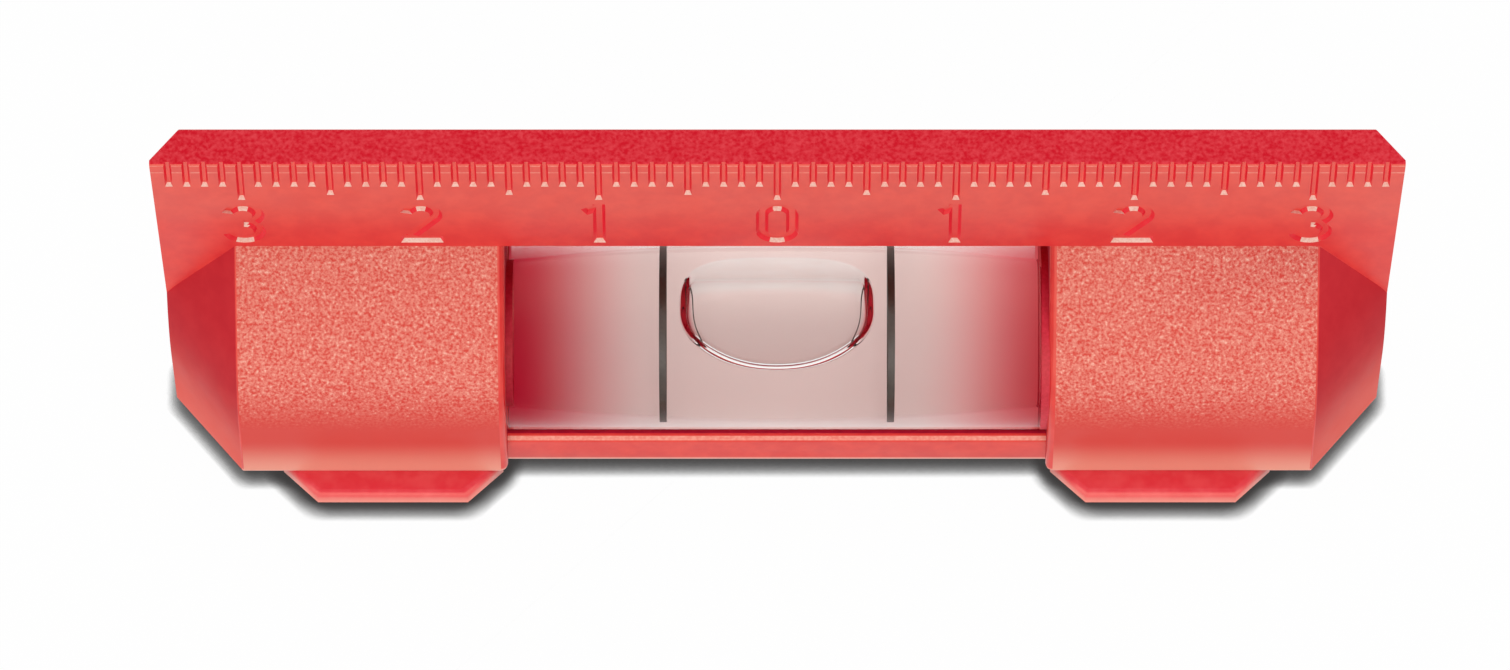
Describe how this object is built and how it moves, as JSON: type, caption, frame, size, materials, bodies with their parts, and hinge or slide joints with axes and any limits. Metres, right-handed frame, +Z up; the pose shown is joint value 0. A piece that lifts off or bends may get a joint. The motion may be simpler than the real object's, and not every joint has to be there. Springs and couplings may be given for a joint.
{
  "type": "magnetic level",
  "caption": "Pocket magnetic level: red moulded body with an engraved centimetre scale along its top edge, a clear bubble vial in a front window and magnetic feet.",
  "frame": {"origin": "on the plane of the soles, midway along the level and midway between the feet's front and the back", "axes": "+X along the scale to the right, -Y out of the scale face, +Z up to the scale edge"},
  "size_m": [0.07, 0.0148, 0.0243],
  "materials": {
    "red_abs": "moulded ABS, fine spark grain on the block faces and the top edge",
    "white_abs": "moulded, satin",
    "clear_acrylic": "clear polished acrylic",
    "vial_spirit": "clear colourless liquid",
    "vial_air": "air bubble",
    "black_ink": "matt black",
    "black_rubber": "soft black rubber",
    "nickel_plate": "bright nickel plate"
  },
  "bodies": {
    "level": {"housing": "red_abs", "rear_cover": "red_abs", "vial_cradle": "white_abs", "vial_tube": "clear_acrylic", "vial_plug": "clear_acrylic", "vial_liquid": "vial_spirit", "ring_left": "black_ink", "ring_right": "black_ink", "pad_left": "black_rubber", "pad_right": "black_rubber", "magnet_left": "nickel_plate", "magnet_right": "nickel_plate", "foot_left": "red_abs", "foot_right": "red_abs"},
    "bubble": {"vial_bubble": "vial_air"}
  },
  "joints": [
    {"name": "bubble_run", "type": "hinge", "parent": "level", "child": "bubble", "pos_m": [0, 0, -0.1899], "axis": [0, 1, 0], "range_deg": [-2.6, 2.6], "stiffness_Nm_per_rad": 0.002}
  ]
}
